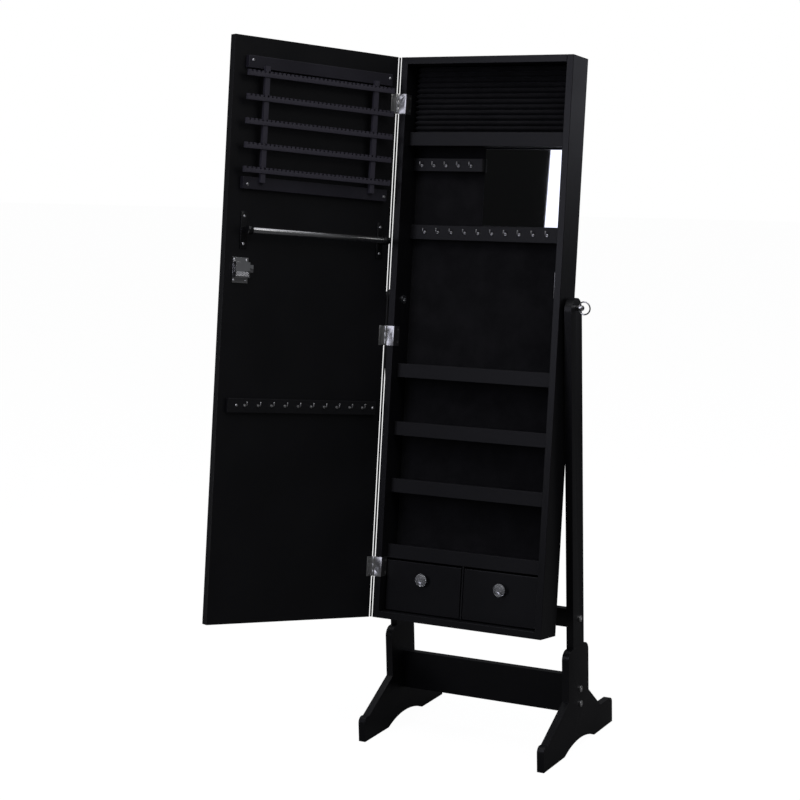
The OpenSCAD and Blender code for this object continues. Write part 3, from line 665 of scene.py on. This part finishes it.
# %% [markdown]
# ## The lock's pressed cover
# The lower half of the lock's case carries a pressed diamond pattern. Small four-sided cones give
# the pattern without any texture. Every second row has one cone fewer and is set half a step on.

# %% Lock relief
CASE_FACE, STUD_LEFT, STUD_LOW = 11.9, 150.4, 714.4
STUD_ACROSS, STUD_UP, STUD_ROWS, STUD_COLUMNS = 3.4, 2.3, 4, 9
bm = bmesh.new()
for row in range(STUD_ROWS):
    odd = row % 2
    for column in range(STUD_COLUMNS - odd):
        x = STUD_LEFT + STUD_ACROSS * (column + odd / 2)
        stud = Matrix.Translation((x, CASE_FACE, STUD_LOW + STUD_UP * row))
        bmesh.ops.create_cone(bm, cap_ends=True, segments=4, radius1=1.75, radius2=0.5, depth=0.7,
                              matrix=stud @ Matrix.Rotation(-pi / 2, 4, "X"))
finish_piece("lock_relief", bm, ON_DOOR, CHROME, "door", smooth=10)

# %% [markdown]
# ## Finishes for the parts that keep their measured mesh
# Small turned parts are already the right shape, so they only need a finish.

# %% Finishes on measured parts
MEASURED = {
    "barrel_nuts": ZINC, "pivot_inserts": ZINC, "cabinet_screws": NICKEL, "door_screws": NICKEL,
}
for node, material in MEASURED.items():
    mesh = nodes[node].data
    mesh.materials.clear()
    mesh.materials.append(material)

# %% [markdown]
# ## Floor and backdrop
# The armoire is shown on a plain white floor in soft light. To the camera the floor and the world
# glow white, but to everything else they are dim. Otherwise they would wash the black paint grey,
# because black satin shows mostly what it mirrors.

# %% Floor and backdrop
def matt_white(name):
    white = Finish(name, Base_Color=(0.12, 0.12, 0.12), Roughness=0.9)
    white.shader.inputs["Emission Strength"].default_value = 1.0
    seen = white.add("ShaderNodeLightPath").outputs["Is Camera Ray"]
    cloud = white.noise(white.place(), 2, 2)
    return white.drive(
        Roughness=0.85 + cloud * 0.1,
        Emission_Color=white.blend(seen, (0.012, 0.012, 0.012), (0.97, 0.97, 0.97)),
    )


bm = bmesh.new()
bmesh.ops.create_grid(bm, x_segments=2, y_segments=2, size=12)
floor_mesh = bpy.data.meshes.new("floor")
bm.to_mesh(floor_mesh)
bm.free()
floor_mesh.materials.append(matt_white("floor_white"))
floor = bpy.data.objects.new("floor", floor_mesh)
bpy.context.scene.collection.objects.link(floor)

world = bpy.data.worlds.new("studio")
bpy.context.scene.world = world
world.use_nodes = True
sky = world.node_tree
sky.nodes.clear()
dim = sky.nodes.new("ShaderNodeBackground")
dim.inputs["Color"].default_value = (0.93, 0.95, 1.0, 1)
dim.inputs["Strength"].default_value = 0.085
bright = sky.nodes.new("ShaderNodeBackground")
bright.inputs["Color"].default_value = (1, 1, 1, 1)
bright.inputs["Strength"].default_value = 1.0
path = sky.nodes.new("ShaderNodeLightPath")
mix = sky.nodes.new("ShaderNodeMixShader")
out = sky.nodes.new("ShaderNodeOutputWorld")
sky.links.new(path.outputs["Is Camera Ray"], mix.inputs[0])
sky.links.new(dim.outputs[0], mix.inputs[1])
sky.links.new(bright.outputs[0], mix.inputs[2])
sky.links.new(mix.outputs[0], out.inputs[0])


# %% [markdown]
# ## Lamps
# Each lamp is a softbox: a flat panel that glows evenly. A broad one from above gives the room's
# light. The key light stands in front, to the left, where the satin edges and the small mirror
# look. Two panels on the right draw the side of the cabinet, and a weak low one finds the feet.

# %% Lamps
def softbox(name, place, aim, size, power, tint=(1, 1, 1)):
    lamp = bpy.data.lights.new(name, "AREA")
    lamp.shape = "RECTANGLE"
    lamp.size, lamp.size_y = size
    lamp.energy = power
    lamp.color = tint
    holder = bpy.data.objects.new(name, lamp)
    holder.location = place
    holder.rotation_mode = "QUATERNION"
    holder.rotation_quaternion = (Vector(aim) - Vector(place)).to_track_quat("-Z", "Y")
    holder.visible_camera = False
    bpy.context.scene.collection.objects.link(holder)


softbox("top_light", (0.3, -0.6, 4.2), (0, 0, 0), (4.5, 4.5), 50, (0.95, 0.95, 1.0))
softbox("key_light", (-0.94, -3.39, 2.25), (0.1, 0.05, 1.2), (1.08, 2.3), 12.5, (0.84, 0.84, 1.0))
softbox("right_back_light", (1.9, 3.3, 1.75), (0.2, 0, 1.3), (1.4, 1.5), 2.9, (0.86, 0.87, 1.0))
softbox("right_high_light", (2.9, -1.0, 3.3), (0, 0, 0.9), (1.4, 1.0), 9, (1.0, 0.99, 0.97))
softbox("left_low_light", (-3.0, -2.0, 0.6), (0, 0, 0.6), (0.8, 1.0), 4, (0.95, 0.96, 1.0))

# %% [markdown]
# ## A flag
# A black card stands beside the key light, out of the picture. In a studio it is called a flag: it
# gives the mirror and the satin lips something dark to show, with a clean edge to the light.

# %% Flag
CABINET_HEART, FLAG_AT = Vector((0.1, 0.05, 1.2)), Vector((-2.30, -2.95, 1.9))
FLAG_WIDE, FLAG_HIGH = 2.4, 3.0
bm = bmesh.new()
bmesh.ops.create_grid(bm, x_segments=1, y_segments=1, size=0.5,
                      matrix=Matrix.Diagonal((FLAG_WIDE, FLAG_HIGH, 1, 1)))
facing_cabinet = (CABINET_HEART - FLAG_AT).to_track_quat("Z", "Y").to_matrix().to_4x4()
bm.transform(Matrix.Translation(FLAG_AT) @ facing_cabinet)
card_mesh = bpy.data.meshes.new("flag")
bm.to_mesh(card_mesh)
bm.free()
card_mesh.materials.append(Finish("flag_black", Base_Color=(0.01, 0.01, 0.01), Roughness=1.0).material)
card = bpy.data.objects.new("flag", card_mesh)
card.visible_camera = False
bpy.context.scene.collection.objects.link(card)

# %% [markdown]
# ## Camera
# A camera is an eye, three angles and a lens. We turn the angles into three arrows, ahead, across
# and above, and set them as the camera's axes. That is clearer than a tracking constraint, and it
# gives the same view every time.

# %% Camera
EYE = Vector((1.8745, -3.6803, 1.4799))
YAW, PITCH, ROLL = radians(29.41), radians(10.15), radians(-1.27)
LENS = 88.72

ahead = Vector((-sin(YAW) * cos(PITCH), cos(YAW) * cos(PITCH), -sin(PITCH)))
level = Vector((cos(YAW), sin(YAW), 0))
above = level.cross(ahead)
across = cos(ROLL) * level + sin(ROLL) * above
top = cos(ROLL) * above - sin(ROLL) * level

lens = bpy.data.cameras.new("camera")
lens.lens = LENS
lens.sensor_width = 36
camera = bpy.data.objects.new("camera", lens)
camera.matrix_world = Matrix.Translation(EYE) @ Matrix((across, top, -ahead)).transposed().to_4x4()
bpy.context.scene.collection.objects.link(camera)
bpy.context.scene.camera = camera
bpy.context.scene.view_settings.view_transform = "Standard"
